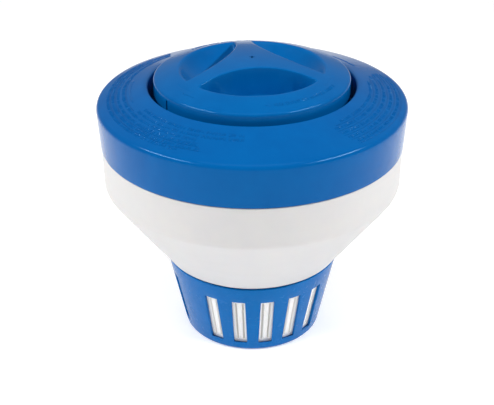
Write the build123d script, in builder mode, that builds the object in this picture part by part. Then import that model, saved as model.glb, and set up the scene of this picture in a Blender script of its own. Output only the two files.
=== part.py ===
from build123d import *

import math
import os

# Floating chlorine dispenser: a round float with a deep tablet basket through its middle.
# The frame stands on the resting face: +Z up along the float's axis, -Y to the front.
# Angles called bearings are measured about +Z from the front, positive towards +X.

# ---- Heights, stacked up from the resting face (mm) ----
regulator_height = 55.6  # blue cup round the basket's foot
neck_gap = 1.6  # bare neck between the cup's rim and the float's foot
cone_height = 53.3  # from the float's foot to its shoulder
band_height = 27.3  # white band between the shoulder and the collar's skirt
skirt_height = 27.5  # collar's skirt, up to its outer corner
crown_rise = 10.8  # rise of the collar's top face from that corner to the well
cap_stand = 4.8  # height of the cap's rim above the edge of the well
dome_rise = 12.2  # rise of the cap's dome above its rim
well_depth = 17.0  # depth of the well that the cap sits in

# ---- Radii (mm) ----
collar_radius = 100.0
skirt_draft = 1.6  # radius that the skirt loses towards its lower edge
skirt_reveal = 0.4  # how far the white band stands in from the skirt's lower edge
band_draft = 0.4
well_radius = 66.5
cap_gap = 3.6  # shadow gap between the cap and the wall of the well
regulator_rim_overhang = 2.45  # how far the cup's rim stands out past the bore of the neck
regulator_taper = 11.8  # radius that the cup loses from its rim to its foot
float_foot_overhang = 0.6  # how far the float's foot covers the cup's rim

# ---- Walls (mm) ----
collar_wall = 2.6
float_wall = 2.2
cap_wall = 2.4
basket_wall = 2.0
regulator_wall = 2.0

# ---- Roundings (mm) ----
collar_edge_round = 3.6
well_lip_round = 1.1
cap_edge_round = 2.2
shoulder_round = 7.0
basket_knee_round = 10.0
basket_foot_round = 1.0
float_foot_round = 1.2
regulator_foot_round = 2.6
small_round = 0.6

# ---- Cap: three finger hollows, a vent and a slit skirt ----
hollow_count = 3
hollow_bearing = 7.8
hollow_margin = 17.4  # dome left between the hollows and the cap's rim
hollow_inner_radius = 16.3
hollow_half_angle = 52.0
hollow_depth = 19.0  # from the dome down to the floor beside the inner wall
hollow_flat = 5.0  # level strip of floor beside the inner wall
vent_length = 3.4
vent_width = 0.9
skirt_slit_bearing = -56.0
skirt_slit_width = 1.5
skirt_slit_top_margin = 2.4
cap_floor_clearance = 1.5  # between the cap's skirt and the floor of the well

# ---- Quick thread between the cap and the collar's neck ----
thread_starts = 3
thread_lead = 60.0  # rise of the cap in one full turn
thread_depth = 1.7
thread_height = 2.4
thread_span = 56.0  # degrees round the neck
lug_span = 14.0
lug_lag = 12.0  # degrees from the foot of a ridge to the lug closed under it
thread_clearance = 0.35
ridge_foot = 4.4  # height of a ridge's lower end above the floor of the well

# ---- Seals ----
cap_gasket_thickness = 2.0
cap_gasket_inset = 1.2  # depth of the gasket's land under the cap's rim
rim_gasket_thickness = 2.0
o_ring_section = 2.6
seal_clearance = 0.1

# ---- Float's lip and sleeve ----
lip_height = 20.0
lip_clearance = 0.2
ledge_gap = 0.3
sleeve_height = 20.0
sleeve_clearance = 0.3
gland_height = 7.0
gland_middle = 11.0  # above the float's foot
gland_wall = 2.4
socket_length = 9.0  # sleeve under the well that steadies the basket

# ---- Basket ----
basket_flange_thickness = 2.0
basket_clearance = 0.3  # to the collar's neck
slit_width = 1.4
slit_offset = 2.6  # degrees from the middle of a window to each slit
slit_foot_margin = 1.4  # slit's end above the window's sill
slit_head_margin = 2.5  # slit's end below the window's head
floor_thickness = 2.2
floor_rib_count = 6
floor_rib_height = 2.0
floor_rib_width = 2.0
floor_rib_start = 12.0
floor_rib_end_gap = 3.0

# ---- Flow regulator ----
window_groups = 3
windows_per_group = 5
window_pitch = 20.0
window_group_bearing = 10.5
window_width = 8.9
window_sill = 6.7
window_head = 43.5
regulator_gap = 0.5  # running gap round and under the basket
foot_recess = 2.4

# ---- Pivot of the regulator, and the pin that stops its turn ----
pivot_radius = 5.0
pivot_clearance = 0.05
pivot_head_radius = 9.0
pivot_head_thickness = 1.8
pivot_head_gap = 0.1
pivot_barb_radius = 6.4
pivot_barb_height = 3.0
pivot_bore_radius = 2.2
stop_radius = 30.0  # distance of the stop pin from the axis
stop_pin_radius = 1.6
stop_clearance = 0.3
stop_bearing = -100.0
regulator_travel = 10.0  # degrees, half a window pitch: open to shut

# ---- Heights worked out from the stack ----
float_foot_z = regulator_height + neck_gap
shoulder_z = float_foot_z + cone_height
skirt_foot_z = shoulder_z + band_height
collar_corner_z = skirt_foot_z + skirt_height
well_edge_z = collar_corner_z + crown_rise
well_floor_z = well_edge_z - well_depth
cap_rim_z = well_edge_z + cap_stand
cap_top_z = cap_rim_z + dome_rise
cap_land_z = cap_rim_z - cap_gasket_inset
basket_top_z = cap_land_z - cap_gasket_thickness
neck_top_z = basket_top_z - basket_flange_thickness
regulator_floor_z = foot_recess + floor_thickness
basket_foot_z = regulator_floor_z + regulator_gap
basket_floor_z = basket_foot_z + floor_thickness
cap_skirt_foot_z = well_floor_z + cap_floor_clearance

# ---- Radii worked out from the fits ----
cap_radius = well_radius - cap_gap
cap_bore = cap_radius - cap_wall
neck_radius = cap_bore - thread_clearance - thread_depth
neck_bore = neck_radius - collar_wall
basket_top_radius = neck_bore - basket_clearance
regulator_rim_radius = neck_bore + regulator_rim_overhang
regulator_foot_radius = regulator_rim_radius - regulator_taper
float_foot_radius = regulator_rim_radius + float_foot_overhang
skirt_foot_radius = collar_radius - skirt_draft
band_radius = skirt_foot_radius - skirt_reveal
lip_radius = skirt_foot_radius - collar_wall - lip_clearance
hollow_outer_radius = cap_radius - hollow_margin
dome_radius = (cap_radius**2 + dome_rise**2) / (2 * dome_rise)
dome_centre_z = cap_top_z - dome_radius
wall_slope = (regulator_rim_radius - regulator_foot_radius) / regulator_height
wall_across = regulator_wall * math.hypot(1.0, wall_slope)


def point_at(radius, bearing):
    """Point in the XY plane at a radius and a bearing from the front."""
    turn = math.radians(bearing - 90.0)
    return radius * math.cos(turn), radius * math.sin(turn)


def dome_z(radius, inset=0.0):
    """Height of the cap's dome, or of the surface a distance inside it."""
    return dome_centre_z + math.sqrt((dome_radius - inset) ** 2 - radius**2)


def regulator_bore(height):
    """Inner radius of the regulator's tapered wall."""
    return regulator_foot_radius + wall_slope * height - wall_across


def basket_radius(height):
    """Outer radius of the basket's tapered foot, a running gap inside the regulator."""
    return regulator_bore(height) - regulator_gap


basket_knee_z = window_head - slit_head_margin + 1.0
basket_knee_radius = basket_radius(basket_knee_z)


def basket_stem_radius(height):
    """Outer radius of the basket's long stem, from its knee up to its top."""
    share = (height - basket_knee_z) / (basket_top_z - basket_knee_z)
    return basket_knee_radius + (basket_top_radius - basket_knee_radius) * share


sleeve_bore = basket_stem_radius(float_foot_z + sleeve_height) + sleeve_clearance
window_bearings = [
    window_group_bearing + group * 360.0 / window_groups + step * window_pitch
    for group in range(window_groups)
    for step in range(-(windows_per_group // 2), windows_per_group // 2 + 1)
]


def corner(sketch, radius, height):
    """Vertex of a profile nearest to a radius and a height."""
    return sketch.vertices().sort_by_distance((radius, height, 0))[0]


def thread_bar(inner, outer, bearing, span, foot_z):
    """Helical bar between two radii, rising with the thread's lead."""
    rise = thread_lead * span / 360.0
    middle = (inner + outer) / 2
    with BuildPart() as bar:
        with BuildLine() as rail:
            Helix(pitch=thread_lead, height=rise, radius=middle)
        start = Plane(origin=(middle, 0, 0), x_dir=(1, 0, 0), z_dir=(0, -1, 0))
        with BuildSketch(start):
            Rectangle(outer - inner, thread_height, align=(Align.CENTER, Align.MIN))
        sweep(path=rail.line, is_frenet=True)
    return bar.part.rotate(Axis.Z, bearing - 90.0).translate((0, 0, foot_z))


# ---- Top collar: skirt, crown, well and threaded neck in one moulding ----
ridge_foot_z = well_floor_z + ridge_foot
ridge_bearings = [i * 360.0 / thread_starts for i in range(thread_starts)]
rim_gasket_foot_z = skirt_foot_z + lip_height
rib_depth_z = rim_gasket_foot_z + rim_gasket_thickness
rib_inner = lip_radius - float_wall


def crown_z(radius):
    """Height of the collar's conical top face."""
    return collar_corner_z + crown_rise * (collar_radius - radius) / (collar_radius - well_radius)


with BuildPart() as top_collar:
    with BuildSketch(Plane.XZ):
        with BuildLine() as skin:
            FilletPolyline(
                (skirt_foot_radius, skirt_foot_z),
                (collar_radius, collar_corner_z),
                (well_radius, well_edge_z),
                (well_radius, well_floor_z),
                (neck_radius, well_floor_z),
                (neck_radius, neck_top_z),
                radius=[collar_edge_round, well_lip_round, small_round, small_round],
            )
            offset(skin.line, amount=collar_wall, side=Side.LEFT)
        make_face()
    revolve(axis=Axis.Z)
    with BuildSketch(Plane.XY.offset(well_floor_z - collar_wall / 2)):
        Circle(neck_radius)
        Circle(neck_bore, mode=Mode.SUBTRACT)
    extrude(amount=-socket_length - collar_wall / 2)
    with BuildSketch(Plane.XY.offset(rib_depth_z)):
        Circle(lip_radius)
        Circle(rib_inner, mode=Mode.SUBTRACT)
    extrude(amount=crown_z(lip_radius) - rib_depth_z - collar_wall / 2)
    for bearing in ridge_bearings:
        root = neck_radius - collar_wall / 2
        add(thread_bar(root, neck_radius + thread_depth, bearing, thread_span, ridge_foot_z))
top_collar.part.label = "top_collar"

# ---- Rim gasket: flat ring squeezed between the float's lip and the collar's rib ----
with BuildPart() as rim_gasket:
    with BuildSketch(Plane.XY.offset(rim_gasket_foot_z)):
        Circle(lip_radius - seal_clearance)
        Circle(rib_inner + seal_clearance, mode=Mode.SUBTRACT)
    extrude(amount=rim_gasket_thickness)
rim_gasket.part.label = "rim_gasket"

# ---- Float shell: lip, band, shoulder, cone and the sleeve round the basket ----
gland_middle_z = float_foot_z + gland_middle
groove_radius = sleeve_bore + o_ring_section - sleeve_clearance + seal_clearance

with BuildPart() as float_shell:
    with BuildSketch(Plane.XZ):
        with BuildLine() as skin:
            FilletPolyline(
                (lip_radius, rim_gasket_foot_z),
                (lip_radius, skirt_foot_z - ledge_gap),
                (band_radius, skirt_foot_z - ledge_gap),
                (band_radius - band_draft, shoulder_z),
                (float_foot_radius, float_foot_z),
                (sleeve_bore, float_foot_z),
                (sleeve_bore, float_foot_z + sleeve_height),
                radius=[small_round, small_round, shoulder_round, float_foot_round, small_round],
            )
            offset(skin.line, amount=float_wall, side=Side.RIGHT)
        make_face()
    revolve(axis=Axis.Z)
    with BuildSketch(Plane.XY.offset(gland_middle_z - gland_height / 2)):
        Circle(groove_radius + gland_wall)
        Circle(sleeve_bore, mode=Mode.SUBTRACT)
    extrude(amount=gland_height)
    with BuildSketch(Plane.XY.offset(gland_middle_z - o_ring_section / 2 - seal_clearance)):
        Circle(groove_radius)
    extrude(amount=o_ring_section + 2 * seal_clearance, mode=Mode.SUBTRACT)
float_shell.part.label = "float_shell"

# ---- Neck O-ring: keeps the water out of the air chamber, in the sleeve's groove ----
with BuildPart() as neck_o_ring:
    stem_radius = basket_stem_radius(gland_middle_z + o_ring_section / 2)
    with BuildSketch(Plane.XZ):
        with Locations((stem_radius + (o_ring_section + seal_clearance) / 2, gland_middle_z)):
            Circle((o_ring_section - seal_clearance) / 2)
    revolve(axis=Axis.Z)
neck_o_ring.part.label = "neck_o_ring"

# ---- Tablet basket: flange, long stem, slotted foot and ribbed floor ----
slit_foot_z = window_sill + slit_foot_margin
slit_head_z = window_head - slit_head_margin
slit_bearings = [bearing + side * slit_offset for bearing in window_bearings for side in (-1, 1)]

with BuildPart() as tablet_basket:
    with BuildSketch(Plane.XZ):
        with BuildLine() as skin:
            FilletPolyline(
                (0, basket_foot_z),
                (basket_radius(basket_foot_z), basket_foot_z),
                (basket_knee_radius, basket_knee_z),
                (basket_top_radius, basket_top_z),
                radius=[basket_foot_round, basket_knee_round],
            )
            Polyline(
                (basket_top_radius, basket_top_z),
                (basket_top_radius - basket_wall, basket_top_z),
                (basket_knee_radius - basket_wall, basket_knee_z),
                (basket_radius(basket_floor_z) - basket_wall, basket_floor_z),
                (0, basket_floor_z),
                (0, basket_foot_z),
            )
        make_face()
    revolve(axis=Axis.Z)
    with BuildSketch(Plane.XY.offset(neck_top_z)):
        Circle(neck_radius)
        Circle(basket_top_radius - basket_wall / 2, mode=Mode.SUBTRACT)
    extrude(amount=basket_flange_thickness)
    rib_end = basket_radius(basket_floor_z) - basket_wall - floor_rib_end_gap
    with BuildSketch(Plane.XY.offset(basket_floor_z)):
        with PolarLocations((floor_rib_start + rib_end) / 2, floor_rib_count):
            Rectangle(rib_end - floor_rib_start, floor_rib_width)
    extrude(amount=floor_rib_height)
    with BuildSketch(Plane.XY.offset(slit_foot_z)):
        for bearing in slit_bearings:
            with Locations(point_at(basket_knee_radius, bearing)):
                Rectangle(basket_knee_radius / 2, slit_width, rotation=bearing - 90.0)
    extrude(amount=slit_head_z - slit_foot_z, mode=Mode.SUBTRACT)
    with BuildSketch(Plane.XY.offset(basket_foot_z)):
        Circle(pivot_radius)
        SlotArc(
            CenterArc((0, 0), stop_radius, stop_bearing - 90.0, regulator_travel),
            height=2 * (stop_pin_radius + stop_clearance),
        )
    extrude(amount=floor_thickness, mode=Mode.SUBTRACT)
tablet_basket.part.label = "tablet_basket"

# ---- Flow regulator: the cup that turns round the basket's foot ----
window_reach = regulator_rim_radius - regulator_bore(window_sill) + regulator_gap / 2

with BuildPart() as flow_regulator:
    with BuildSketch(Plane.XZ) as wall_section:
        with BuildLine():
            Polyline(
                (0, foot_recess),
                (regulator_bore(0) - regulator_foot_round, foot_recess),
                (regulator_bore(0) - regulator_foot_round, 0),
                (regulator_foot_radius, 0),
                (regulator_rim_radius, regulator_height),
                (regulator_bore(regulator_height), regulator_height),
                (regulator_bore(regulator_floor_z), regulator_floor_z),
                (0, regulator_floor_z),
                close=True,
            )
        make_face()
        fillet(corner(wall_section, regulator_foot_radius, 0), radius=regulator_foot_round)
        fillet(corner(wall_section, regulator_rim_radius, regulator_height), radius=small_round)
        rim_inner = corner(wall_section, regulator_bore(regulator_height), regulator_height)
        fillet(rim_inner, radius=small_round)
    revolve(axis=Axis.Z)
    with BuildSketch(Plane.XY.offset(window_sill)):
        for bearing in window_bearings:
            with Locations(point_at(regulator_rim_radius, bearing)):
                Rectangle(2 * window_reach, window_width, rotation=bearing - 90.0)
    extrude(amount=window_head - window_sill, mode=Mode.SUBTRACT)
    with BuildSketch(Plane.XY.offset(foot_recess)):
        Circle(pivot_radius + pivot_clearance)
    extrude(amount=floor_thickness, mode=Mode.SUBTRACT)
    with BuildSketch(Plane.XY.offset(foot_recess)):
        with Locations(point_at(stop_radius, stop_bearing)):
            Circle(stop_pin_radius)
    extrude(amount=basket_floor_z - foot_recess)
flow_regulator.part.label = "flow_regulator"

# ---- Pivot rivet: a split plastic pin that holds the regulator to the basket ----
pivot_head_z = foot_recess - pivot_head_gap
barb_top_z = basket_floor_z + pivot_barb_height

with BuildPart() as pivot_rivet:
    with BuildSketch(Plane.XZ) as rivet_section:
        with BuildLine():
            Polyline(
                (pivot_bore_radius, pivot_head_z - pivot_head_thickness),
                (pivot_head_radius, pivot_head_z - pivot_head_thickness),
                (pivot_head_radius, pivot_head_z),
                (pivot_radius, pivot_head_z),
                (pivot_radius, basket_floor_z),
                (pivot_barb_radius, basket_floor_z),
                (pivot_radius - small_round, barb_top_z),
                (pivot_bore_radius, barb_top_z),
                close=True,
            )
        make_face()
        head_edge = corner(rivet_section, pivot_head_radius, pivot_head_z - pivot_head_thickness)
        fillet(head_edge, radius=small_round)
    revolve(axis=Axis.Z)
    with BuildSketch(Plane.XY.offset(basket_foot_z)):
        Rectangle(3 * pivot_barb_radius, slit_width)
    extrude(amount=barb_top_z - basket_foot_z, mode=Mode.SUBTRACT)
pivot_rivet.part.label = "pivot_rivet"

# ---- Cap: domed lid with three finger hollows ----
hollow_bearings = [hollow_bearing + i * 360.0 / hollow_count for i in range(hollow_count)]
hollow_floor_z = dome_z(hollow_inner_radius) - hollow_depth
scoop_start = hollow_inner_radius + hollow_flat
scoop_run = hollow_outer_radius - scoop_start
scoop_rise = dome_z(hollow_outer_radius) - hollow_floor_z
scoop_radius = (scoop_run**2 + scoop_rise**2) / (2 * scoop_rise)
scoop_centre_z = hollow_floor_z + scoop_radius
gasket_inner = basket_top_radius - basket_wall


def finger_hollows(wall):
    """Three lens-shaped scoops, grown outwards by a wall; a wall of 0 gives the bare hollows."""
    reach = scoop_radius + wall
    half_turn = math.asin(scoop_run / scoop_radius) / 2
    tip = (
        hollow_outer_radius * math.cos(math.radians(hollow_half_angle)),
        hollow_outer_radius * math.sin(math.radians(hollow_half_angle)),
    )
    with BuildPart() as lenses:
        with BuildSketch(Plane.XY.offset(hollow_floor_z - 2 * cap_wall)):
            for bearing in hollow_bearings:
                with BuildSketch(mode=Mode.PRIVATE) as lens:
                    with BuildLine():
                        ThreePointArc((tip[0], -tip[1]), (hollow_outer_radius, 0), tip)
                        ThreePointArc(tip, (hollow_inner_radius, 0), (tip[0], -tip[1]))
                    make_face()
                    if wall:
                        offset(amount=wall)
                add(lens.sketch, rotation=bearing - 90.0)
        extrude(amount=cap_top_z - hollow_floor_z + 4 * cap_wall)
    with BuildPart() as scoop:
        with BuildSketch(Plane.XZ):
            with BuildLine():
                low = (scoop_start, scoop_centre_z - reach)
                middle = (
                    scoop_start + reach * math.sin(half_turn),
                    scoop_centre_z - reach * math.cos(half_turn),
                )
                high = (
                    scoop_start + reach * math.sin(2 * half_turn),
                    scoop_centre_z - reach * math.cos(2 * half_turn),
                )
                Line((0, low[1]), low)
                ThreePointArc(low, middle, high)
                Polyline(high, (high[0], cap_top_z + cap_wall), (0, cap_top_z + cap_wall), (0, low[1]))
            make_face()
        revolve(axis=Axis.Z)
        add(lenses.part, mode=Mode.INTERSECT)
    return scoop.part


def dome_section():
    """Half section of the cap's outside, filled in down to the foot of its skirt."""
    with BuildLine() as edge:
        Polyline(
            (0, cap_top_z),
            (0, cap_skirt_foot_z),
            (cap_radius, cap_skirt_foot_z),
            (cap_radius, cap_rim_z),
        )
        RadiusArc((cap_radius, cap_rim_z), (0, cap_top_z), -dome_radius)
    return edge.line


lug_foot_z = ridge_foot_z + thread_lead * lug_lag / 360.0 - thread_height - thread_clearance
hollow_space = finger_hollows(0)

with BuildPart() as hollow_shells:
    with BuildSketch(Plane.XZ):
        add(dome_section())
        make_face()
    revolve(axis=Axis.Z)
    add(finger_hollows(cap_wall), mode=Mode.INTERSECT)

with BuildPart() as cap:
    with BuildSketch(Plane.XZ) as outside:
        add(dome_section())
        make_face()
        fillet(corner(outside, cap_radius, cap_rim_z), radius=cap_edge_round)
        fillet(corner(outside, cap_radius, cap_skirt_foot_z), radius=small_round)
    revolve(axis=Axis.Z)
    with BuildSketch(Plane.XZ) as inside:
        with BuildLine():
            Polyline(
                (0, dome_z(0, cap_wall)),
                (0, cap_skirt_foot_z),
                (cap_bore, cap_skirt_foot_z),
                (cap_bore, cap_land_z),
                (gasket_inner - cap_wall, cap_land_z),
                (gasket_inner - cap_wall, dome_z(gasket_inner - cap_wall, cap_wall)),
            )
            RadiusArc(
                (gasket_inner - cap_wall, dome_z(gasket_inner - cap_wall, cap_wall)),
                (0, dome_z(0, cap_wall)),
                -(dome_radius - cap_wall),
            )
        make_face()
    revolve(axis=Axis.Z, mode=Mode.SUBTRACT)
    add(hollow_shells.part)
    add(hollow_space, mode=Mode.SUBTRACT)
    with BuildSketch(Plane.XY.offset(cap_top_z)):
        Rectangle(vent_length, vent_width)
        Rectangle(vent_width, vent_length)
    extrude(amount=-2 * cap_wall, mode=Mode.SUBTRACT)
    with BuildSketch(Plane.XY.offset(cap_skirt_foot_z)):
        with Locations(point_at(cap_radius, skirt_slit_bearing)):
            Rectangle(3 * cap_wall, skirt_slit_width, rotation=skirt_slit_bearing - 90.0)
    extrude(amount=cap_rim_z - skirt_slit_top_margin - cap_skirt_foot_z, mode=Mode.SUBTRACT)
    for bearing in ridge_bearings:
        root = cap_bore + cap_wall / 2
        add(thread_bar(cap_bore - thread_depth, root, bearing + lug_lag, lug_span, lug_foot_z))
cap.part.label = "cap"

# ---- Cap gasket: flat ring under the cap, on the basket's flange ----
with BuildPart() as cap_gasket:
    with BuildSketch(Plane.XY.offset(basket_top_z)):
        Circle(neck_radius)
        Circle(gasket_inner, mode=Mode.SUBTRACT)
    extrude(amount=cap_gasket_thickness)
cap_gasket.part.label = "cap_gasket"

# ---- One STEP file for each piece ----
os.makedirs("parts", exist_ok=True)
for piece in (
    cap,
    cap_gasket,
    top_collar,
    rim_gasket,
    float_shell,
    neck_o_ring,
    tablet_basket,
    pivot_rivet,
    flow_regulator,
):
    export_step(piece.part, f"parts/{piece.part.label}.step")
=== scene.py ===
# %% [markdown]
# # A floating chlorine dispenser
# The real object is a round pool float: a blue ring and screw lid on top, a white funnel full of
# air, and a blue slotted cup at the foot that turns to let more or less water reach the tablets.
# Almost every piece is round, so this lesson leans on one tool above all: the lathe. An outline is
# drawn once and spun about the upright axis.

# %% Load the frame
import math
import random
from collections import Counter

import bmesh
import bpy
import numpy as np
from mathutils import Matrix, Vector
from mathutils.geometry import delaunay_2d_cdt


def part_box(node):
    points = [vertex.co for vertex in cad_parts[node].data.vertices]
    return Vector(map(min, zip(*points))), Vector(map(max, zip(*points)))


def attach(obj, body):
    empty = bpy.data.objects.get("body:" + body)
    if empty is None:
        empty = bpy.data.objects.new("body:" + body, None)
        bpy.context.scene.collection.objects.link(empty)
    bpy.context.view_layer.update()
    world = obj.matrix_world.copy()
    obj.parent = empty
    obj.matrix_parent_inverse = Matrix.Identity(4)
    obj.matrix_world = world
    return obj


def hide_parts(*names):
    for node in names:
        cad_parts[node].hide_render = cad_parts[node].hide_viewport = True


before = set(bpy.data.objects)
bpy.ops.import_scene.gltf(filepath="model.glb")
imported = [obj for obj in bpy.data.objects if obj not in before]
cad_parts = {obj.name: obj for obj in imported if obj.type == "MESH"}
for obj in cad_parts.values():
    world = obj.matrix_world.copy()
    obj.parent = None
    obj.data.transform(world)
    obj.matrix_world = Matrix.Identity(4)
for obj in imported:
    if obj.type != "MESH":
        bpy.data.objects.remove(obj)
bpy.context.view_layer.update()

mm = 0.001

# %% [markdown]
# ## Where things are
# The frame already knows each piece's place, so the heights are read from its boxes. A maker's
# drawing would give these as datum lines. Bearings are angles about the upright axis, counted
# from the front, and positive towards the right-hand side.

# %% Heights and radii read from the frame
collar_low, collar_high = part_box("top_collar")
cap_low, cap_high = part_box("cap")
float_low, float_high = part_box("float_shell")
basket_low, basket_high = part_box("tablet_basket")
_, cup_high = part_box("flow_regulator")

cap_top = cap_high.z / mm
cap_radius = cap_high.x / mm
cap_foot = cap_low.z / mm
skirt_foot = collar_low.z / mm
neck_top = collar_high.z / mm
lip_top = float_high.z / mm
float_foot = float_low.z / mm
basket_top = basket_high.z / mm
basket_foot = basket_low.z / mm
neck_radius = basket_high.x / mm
cup_height = cup_high.z / mm
print("heights:", [round(h, 1) for h in (cap_top, skirt_foot, float_foot, cup_height)], "mm")


def on_bearing(radius, bearing, height):
    """A point at a radius, a bearing from the front and a height, all in millimetres."""
    turn = math.radians(bearing - 90)
    return Vector((radius * math.cos(turn), radius * math.sin(turn), height)) * mm


# %% [markdown]
# ## Outlines with rounded corners
# A moulded part has no sharp corner, because plastic won't flow into one. Each corner of an outline
# carries its own rounding, and the small arc there is worked out from the two sides that meet.

# %% Round the corners of an outline
ARC_STEPS = 6


def rounded(corners):
    """Corners are (radius, height) or (radius, height, rounding); the arcs are filled in."""
    line = []
    for i, corner in enumerate(corners):
        here = Vector(corner[:2])
        if len(corner) == 2 or i in (0, len(corners) - 1):
            line.append(here)
            continue
        before = (Vector(corners[i - 1][:2]) - here).normalized()
        after = (Vector(corners[i + 1][:2]) - here).normalized()
        half = before.angle(after) / 2
        reach = corner[2] / math.tan(half)
        middle = here + (before + after).normalized() * corner[2] / math.sin(half)
        start = here + before * reach - middle
        end = here + after * reach - middle
        for step in range(ARC_STEPS + 1):
            share = step / ARC_STEPS
            spoke = (start * (1 - share) + end * share).normalized()
            line.append(middle + spoke * corner[2])
    return line


def divided(line, longest):
    """The same outline with its long sides cut into stretches no longer than a limit."""
    out = [line[0]]
    for a, b in zip(line, line[1:]):
        cuts = max(1, math.ceil((b - a).length / longest))
        out.extend(a + (b - a) * (k + 1) / cuts for k in range(cuts))
    return out


# %% [markdown]
# ## The lathe
# The outline starts as one corner of a plane, merged to a point, and is extruded from point to
# point as one would with the E key. Spin then sweeps it round, the seam is merged, and the normals
# are made to face outwards. A subdivided cylinder would also be round, but it couldn't follow
# the profile of a moulding so freely.

# %% Select, edit and draw
def deselect():
    bpy.ops.object.select_all(action="DESELECT")


def edit(piece):
    """Open a piece in edit mode with everything selected."""
    deselect()
    piece.select_set(True)
    bpy.context.view_layer.objects.active = piece
    bpy.ops.object.mode_set(mode="EDIT")
    bpy.ops.mesh.select_all(action="SELECT")


def done():
    bpy.ops.object.mode_set(mode="OBJECT")


def draw(name, line):
    """One vertex, extruded along the outline in the plane that faces the front."""
    deselect()
    start = Vector((line[0][0], 0, line[0][1])) * mm
    bpy.ops.mesh.primitive_plane_add(size=mm, location=start)
    piece = bpy.context.object
    piece.name = name
    piece.data.name = name
    bpy.ops.object.transform_apply(location=True, rotation=True, scale=True)
    bpy.ops.object.mode_set(mode="EDIT")
    bpy.ops.mesh.select_all(action="SELECT")
    bpy.ops.mesh.merge(type="CENTER")
    for a, b in zip(line, line[1:]):
        step = Vector((b[0] - a[0], 0, b[1] - a[1])) * mm
        bpy.ops.mesh.extrude_vertices_move(TRANSFORM_OT_translate={"value": step})
    done()
    return piece


# %% Spin an outline and finish a piece
SEAM_GAP = 0.004


def smooth(piece, crease=32):
    """Shade smoothly, except across edges that turn by more than the crease angle."""
    deselect()
    piece.select_set(True)
    bpy.context.view_layer.objects.active = piece
    bpy.ops.object.shade_smooth_by_angle(angle=math.radians(crease))


def lathe(name, line, steps=240, crease=32):
    """Spin an outline all the way round and close its seam."""
    piece = draw(name, line)
    edit(piece)
    bpy.ops.mesh.spin(steps=steps, angle=2 * math.pi, center=(0, 0, 0), axis=(0, 0, 1))
    bpy.ops.mesh.select_all(action="SELECT")
    bpy.ops.mesh.remove_doubles(threshold=SEAM_GAP * mm)
    bpy.ops.mesh.normals_make_consistent(inside=False)
    done()
    smooth(piece, crease)
    print(f"{name}: {len(piece.data.polygons)} faces")
    return piece


def apply_modifiers(piece):
    deselect()
    piece.select_set(True)
    bpy.context.view_layer.objects.active = piece
    for modifier in list(piece.modifiers):
        bpy.ops.object.modifier_apply(modifier=modifier.name)


def cut(piece, tool, operation="DIFFERENCE"):
    """Take a tool out of a piece, or join it on, and throw the tool away."""
    modifier = piece.modifiers.new("cut", "BOOLEAN")
    modifier.operation = operation
    modifier.solver = "EXACT"
    modifier.object = tool
    apply_modifiers(piece)
    bpy.data.objects.remove(tool)


def stand_for(piece, node, body):
    """Hide the CAD node a piece replaces and hang the piece on what it rides on."""
    if node:
        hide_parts(node)
    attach(piece, body)


# %% [markdown]
# ## The white float
# The float is blow-moulded: a thin band under the ring, a shoulder, and a long cone down to a
# sleeve that grips the basket. It could be three primitives stuck together, but a single outline
# keeps the walls even and the shoulder soft. A hair-thin step near the foot is where the two
# halves of the mould met.

# %% Spin the float
FLOAT_WALL = 2.2
CONE_WALL = FLOAT_WALL * 1.24
CONE_HEIGHT = 53.3
FOOT_RADIUS = 58.9
LIP_RADIUS = 95.6
SLEEVE_BORE = 53.9
SLEEVE_HEIGHT = 20.0
MOULD_STEP_RISE = 13.4
MOULD_STEP_DEPTH = 0.35
BAND_DRAFT = 0.4
LEDGE_DROP = 0.3
LEDGE_UNDERSIDE = 2.5
SHOULDER_ROUND = 7.0

band_radius = float_high.x / mm
shoulder = float_foot + CONE_HEIGHT
step_height = float_foot + MOULD_STEP_RISE


def cone_radius(height):
    share = (height - float_foot) / (shoulder - float_foot)
    return FOOT_RADIUS + (band_radius - BAND_DRAFT - FOOT_RADIUS) * share


outer = [
    (LIP_RADIUS, lip_top),
    (LIP_RADIUS, skirt_foot - LEDGE_DROP, 0.4),
    (band_radius, skirt_foot - LEDGE_DROP, 0.5),
    (band_radius - BAND_DRAFT, shoulder, SHOULDER_ROUND),
    (cone_radius(step_height + 0.5), step_height + 0.5, 0.3),
    (cone_radius(step_height) - MOULD_STEP_DEPTH, step_height, 0.3),
    (FOOT_RADIUS, float_foot, 1.2),
    (SLEEVE_BORE, float_foot, 0.4),
    (SLEEVE_BORE, float_foot + SLEEVE_HEIGHT),
]
inner = [
    (SLEEVE_BORE + FLOAT_WALL, float_foot + SLEEVE_HEIGHT),
    (SLEEVE_BORE + FLOAT_WALL, float_foot + FLOAT_WALL, 0.8),
    (cone_radius(float_foot + FLOAT_WALL) - CONE_WALL, float_foot + FLOAT_WALL, 1.0),
    (band_radius - FLOAT_WALL - BAND_DRAFT, shoulder + 0.8, SHOULDER_ROUND - 2.0),
    (band_radius - FLOAT_WALL, skirt_foot - LEDGE_UNDERSIDE, 0.4),
    (LIP_RADIUS - FLOAT_WALL, skirt_foot - LEDGE_UNDERSIDE, 0.4),
    (LIP_RADIUS - FLOAT_WALL, lip_top),
]
float_outline = divided(rounded(outer), longest=6.0) + divided(rounded(inner), longest=12.0)
float_body = lathe("float_body", float_outline + [float_outline[0]])
stand_for(float_body, "float_shell", "float")

# %% [markdown]
# ## The blue ring
# The ring is one moulding: a skirt that laps over the float, a sloping crown, the well that the
# lid drops into, and a short neck that carries the thread. Its outer edge has a generous rounding,
# which is where the studio lights draw their long highlights.

# %% Spin the ring
COLLAR_RADIUS = 100.0
SKIRT_DRAFT = 1.6
SKIRT_HEIGHT = 27.5
CROWN_RISE = 10.8
WELL_RADIUS = 66.5
WELL_DEPTH = 17.0
NECK_DROP = 11.6
COLLAR_WALL = 2.6

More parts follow.
